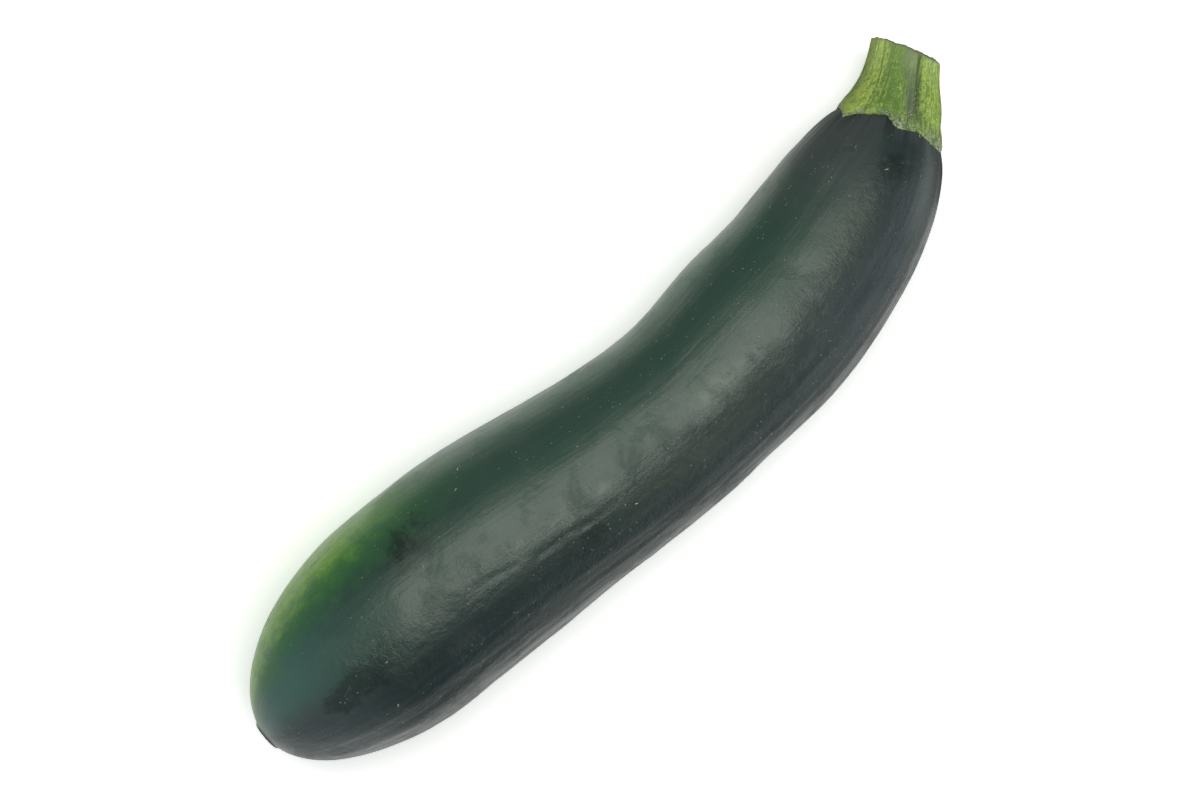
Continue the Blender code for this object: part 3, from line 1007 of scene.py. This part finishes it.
def scatter_tree():
    """Small flattened grains, laid along a surface and turned lengthways with the fruit."""
    net, given = geometry_tree("Scattered Grains", GRAIN_SIZES | {"Grain Material": SHADE})
    chosen = net.named_attribute("grows_here")
    place = net.add("GeometryNodeInputPosition").outputs[0]
    level = given["Patch Level"]
    patches = net.ramp(net.noise(place, given["Patch Scale"], 2.0),
                       net.minus(level, PATCH_EDGE), net.plus(level, PATCH_EDGE))
    raised = net.math("GREATER_THAN", net.separate(place)[2], given["Lowest"])
    density = net.times(net.times(given["Per Square Metre"], raised), net.times(patches, chosen))
    points = net.add("GeometryNodeDistributePointsOnFaces",
                     {"Mesh": given["Geometry"], "Density": density, "Seed": given["Seed"]},
                     distribute_method="RANDOM").outputs

    def drawn(seed, low, high):
        """A random number from low to high for each grain."""
        node = net.add("FunctionNodeRandomValue", {"Seed": seed}, data_type="FLOAT")
        ends = [i for i in node.inputs if i.name in ("Min", "Max") and i.type == "VALUE"][:2]
        for socket, value in zip(ends, (low, high)):
            net.feed(socket, value)
        return [o for o in node.outputs if o.type == "VALUE"][0]

    turned = drawn(given["Seed"], net.times(given["Turn Spread"], -1.0), given["Turn Spread"])
    size = drawn(net.plus(given["Seed"], 7.0), net.minus(1.0, given["Size Spread"]),
                 net.plus(1.0, given["Size Spread"]))
    lengthways = net.combine(net.math("COSINE", turned), net.math("SINE", turned), 0.0)
    align = "FunctionNodeAlignRotationToVector"
    upright = net.add(align, {"Vector": points["Normal"]}, axis="Z").outputs[0]
    laid = net.add(align, {"Rotation": upright, "Vector": lengthways}, axis="X", pivot_axis="Z").outputs[0]
    grain = net.add("GeometryNodeMeshIcoSphere", {"Radius": 0.5, "Subdivisions": 1}).outputs[0]
    shape = net.combine(given["Grain Length"], given["Grain Width"], given["Grain Height"])
    placed = net.add("GeometryNodeInstanceOnPoints", {
        "Points": points["Points"], "Instance": grain, "Rotation": laid,
        "Scale": net.vector("SCALE", shape, scale=size)}).outputs[0]
    end_tree(net, placed, given["Grain Material"])
    return net.tree


SCATTER = scatter_tree()


def scattered(name, ground, where, sizes, shade):
    """Grains on a finished piece. Where gives the share of them that each of its vertices takes."""
    mesh = ground.data.copy()
    mesh.attributes.new("grows_here", "FLOAT", "POINT").data.foreach_set("value", where.astype(np.float32))
    piece = made_by(SCATTER, name, mesh, dict(zip(GRAIN_SIZES, sizes)) | {"Grain Material": shade})
    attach(piece, "root")


skin_shade, stalk_shade = skin_material(), stalk_material()
skin = made_by(skin_tree(), "skin_fine", spine_mesh(), SKIN_SIZES | {"Skin Material": skin_shade})
stalk = stalk_piece()
for vertex in stalk.data.vertices:
    vertex.co.z = max(vertex.co.z, PRESSED_FLAT) - PRESSED_FLAT
stalk.data.materials.append(stalk_shade)

for piece, node in ((skin, "fruit"), (stalk, "stalk")):
    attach(piece, "root")
    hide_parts(node)

everywhere = np.ones(len(skin.data.vertices))
lenticel = fleck_material("lenticel_cork", (0.200, 0.250, 0.205), 0.55)
scraped = fleck_material("scraped_skin", (0.420, 0.460, 0.420), 0.60)
scratched = fleck_material("scratched_wax", (0.120, 0.150, 0.130), 0.60)
scattered("lenticels", skin, everywhere, LENTICELS, lenticel)
scattered("nicks", skin, everywhere, NICKS, scraped)
scattered("scratches", skin, everywhere, SCRATCHES, scratched)

on_stalk = {key: np.zeros(len(stalk.data.vertices), np.float32) for key in ("groove", "crust", "cut")}
for key, values in on_stalk.items():
    stalk.data.attributes[key].data.foreach_get("value", values)
rind = (on_stalk["cut"] < CUT_IS_BARE).astype(float)
prickly = PRICKLES_OFF_GROOVE + (1 - PRICKLES_OFF_GROOVE) * on_stalk["groove"]
crumb = fleck_material("foot_crumbs", (0.430, 0.490, 0.300), 0.75)
scattered("foot_crust", stalk, on_stalk["crust"] * rind, FOOT_CRUST, crumb)
scattered("stalk_prickles", stalk, prickly * rind, PRICKLES, crumb)

# ---------------------------------------- sheet, light and camera
VIEW_TURN = radians(47.24)
VIEW_WIDTH = 0.270
VIEW_MIDDLE = (-0.00550, 0.00400)
VIEW_LEVEL = 0.025
VIEW_DISTANCE = 0.80
SENSOR = 36.0
CLIP_FROM, CLIP_TO = 0.01, 20

SHEET_REACH = 4.0
SHEET_WHITE = (0.82, 0.82, 0.82)
SHEET_AWAY = (0.30, 0.30, 0.30)
SHEET_SEEN = (1.72, 1.70, 1.78, 1)

right = Vector((cos(VIEW_TURN), -sin(VIEW_TURN), 0))
up = Vector((sin(VIEW_TURN), cos(VIEW_TURN), 0))
aim = right * VIEW_MIDDLE[0] + up * VIEW_MIDDLE[1] + Vector((0, 0, VIEW_LEVEL))


def surface():
    """A white sheet: bright where it is seen, and dim in reflections some way from the fruit."""
    made, net, shader, place = material("white_surface")
    x, y = net.separate(place)[:2]
    beyond = net.times_plus(net.math("MAXIMUM", net.minus(x, 0.035), 0.0), 3.0, y)
    away = net.math("MAXIMUM", net.ramp(beyond, 0.09, 0.22), net.ramp(y, -0.055, -0.17, 0.0, 0.75))
    net.feed(shader.inputs["Base Color"], net.mix(away, SHEET_WHITE, SHEET_AWAY))
    shader.inputs["Roughness"].default_value = 0.9
    shader.inputs["Specular IOR Level"].default_value = 0.0
    strength = net.ramp(away, 0.0, 1.0, 0.50, 0.0, smooth=False)
    glow = net.add("ShaderNodeEmission", {"Color": (1, 1, 1, 1), "Strength": strength}).outputs[0]
    lifted = net.add("ShaderNodeAddShader", {0: shader.outputs[0], 1: glow}).outputs[0]
    sheet = net.add("ShaderNodeBsdfDiffuse", {"Color": SHEET_SEEN}).outputs[0]
    seen = net.add("ShaderNodeLightPath").outputs["Is Camera Ray"]
    chosen = net.add("ShaderNodeMixShader", {0: seen, 1: lifted, 2: sheet}).outputs[0]
    output = [n for n in made.node_tree.nodes if n.type == "OUTPUT_MATERIAL"][0]
    net.feed(output.inputs["Surface"], chosen)
    mesh = bpy.data.meshes.new("surface")
    corners = [(SHEET_REACH * i, SHEET_REACH * j, 0) for i, j in ((-1, -1), (1, -1), (1, 1), (-1, 1))]
    mesh.from_pydata(corners, [], [(0, 1, 2, 3)])
    mesh.materials.append(made)
    linked("surface", mesh)


def softbox(name, placing, width, height, power, colour):
    light = bpy.data.lights.new(name, "AREA")
    light.shape = "RECTANGLE"
    light.size, light.size_y, light.energy = width, height, power
    light.color = colour
    linked(name, light).matrix_world = placing


def studio():
    world = bpy.data.worlds.new("studio")
    world.use_nodes = True
    net = Net(world.node_tree)
    background = world.node_tree.nodes["Background"]
    seen = net.add("ShaderNodeLightPath").outputs["Is Camera Ray"]
    net.feed(background.inputs["Color"], net.mix(seen, (0.86, 0.97, 1.0), (1.0, 1.0, 1.0)))
    net.feed(background.inputs["Strength"], net.ramp(seen, 0.0, 1.0, 0.15, 0.9, smooth=False))
    bpy.context.scene.world = world
    softbox("overhead", Matrix.Translation((0.11, -0.02, 1.05)),
            width=0.60, height=1.34, power=10.3, colour=(1.0, 1.0, 0.90))
    beside = right * 0.95 - up * 0.31 + Vector((0, 0, 0.15))
    facing = (Vector((0, 0, 0.03)) - beside).to_track_quat("-Z", "Y").to_matrix().to_4x4()
    softbox("window", Matrix.Translation(beside) @ facing,
            width=1.1, height=0.28, power=2.25, colour=(0.82, 0.95, 1.0))


def camera():
    seen = bpy.data.cameras.new("camera")
    seen.sensor_width = SENSOR
    seen.lens = SENSOR * VIEW_DISTANCE / VIEW_WIDTH
    seen.clip_start, seen.clip_end = CLIP_FROM, CLIP_TO
    turn = Matrix((right, up, Vector((0, 0, 1)))).transposed().to_4x4()
    holder = linked("camera", seen)
    holder.matrix_world = Matrix.Translation(aim + Vector((0, 0, VIEW_DISTANCE))) @ turn
    bpy.context.scene.camera = holder


surface()
studio()
camera()
bpy.context.scene.view_settings.view_transform = "Standard"
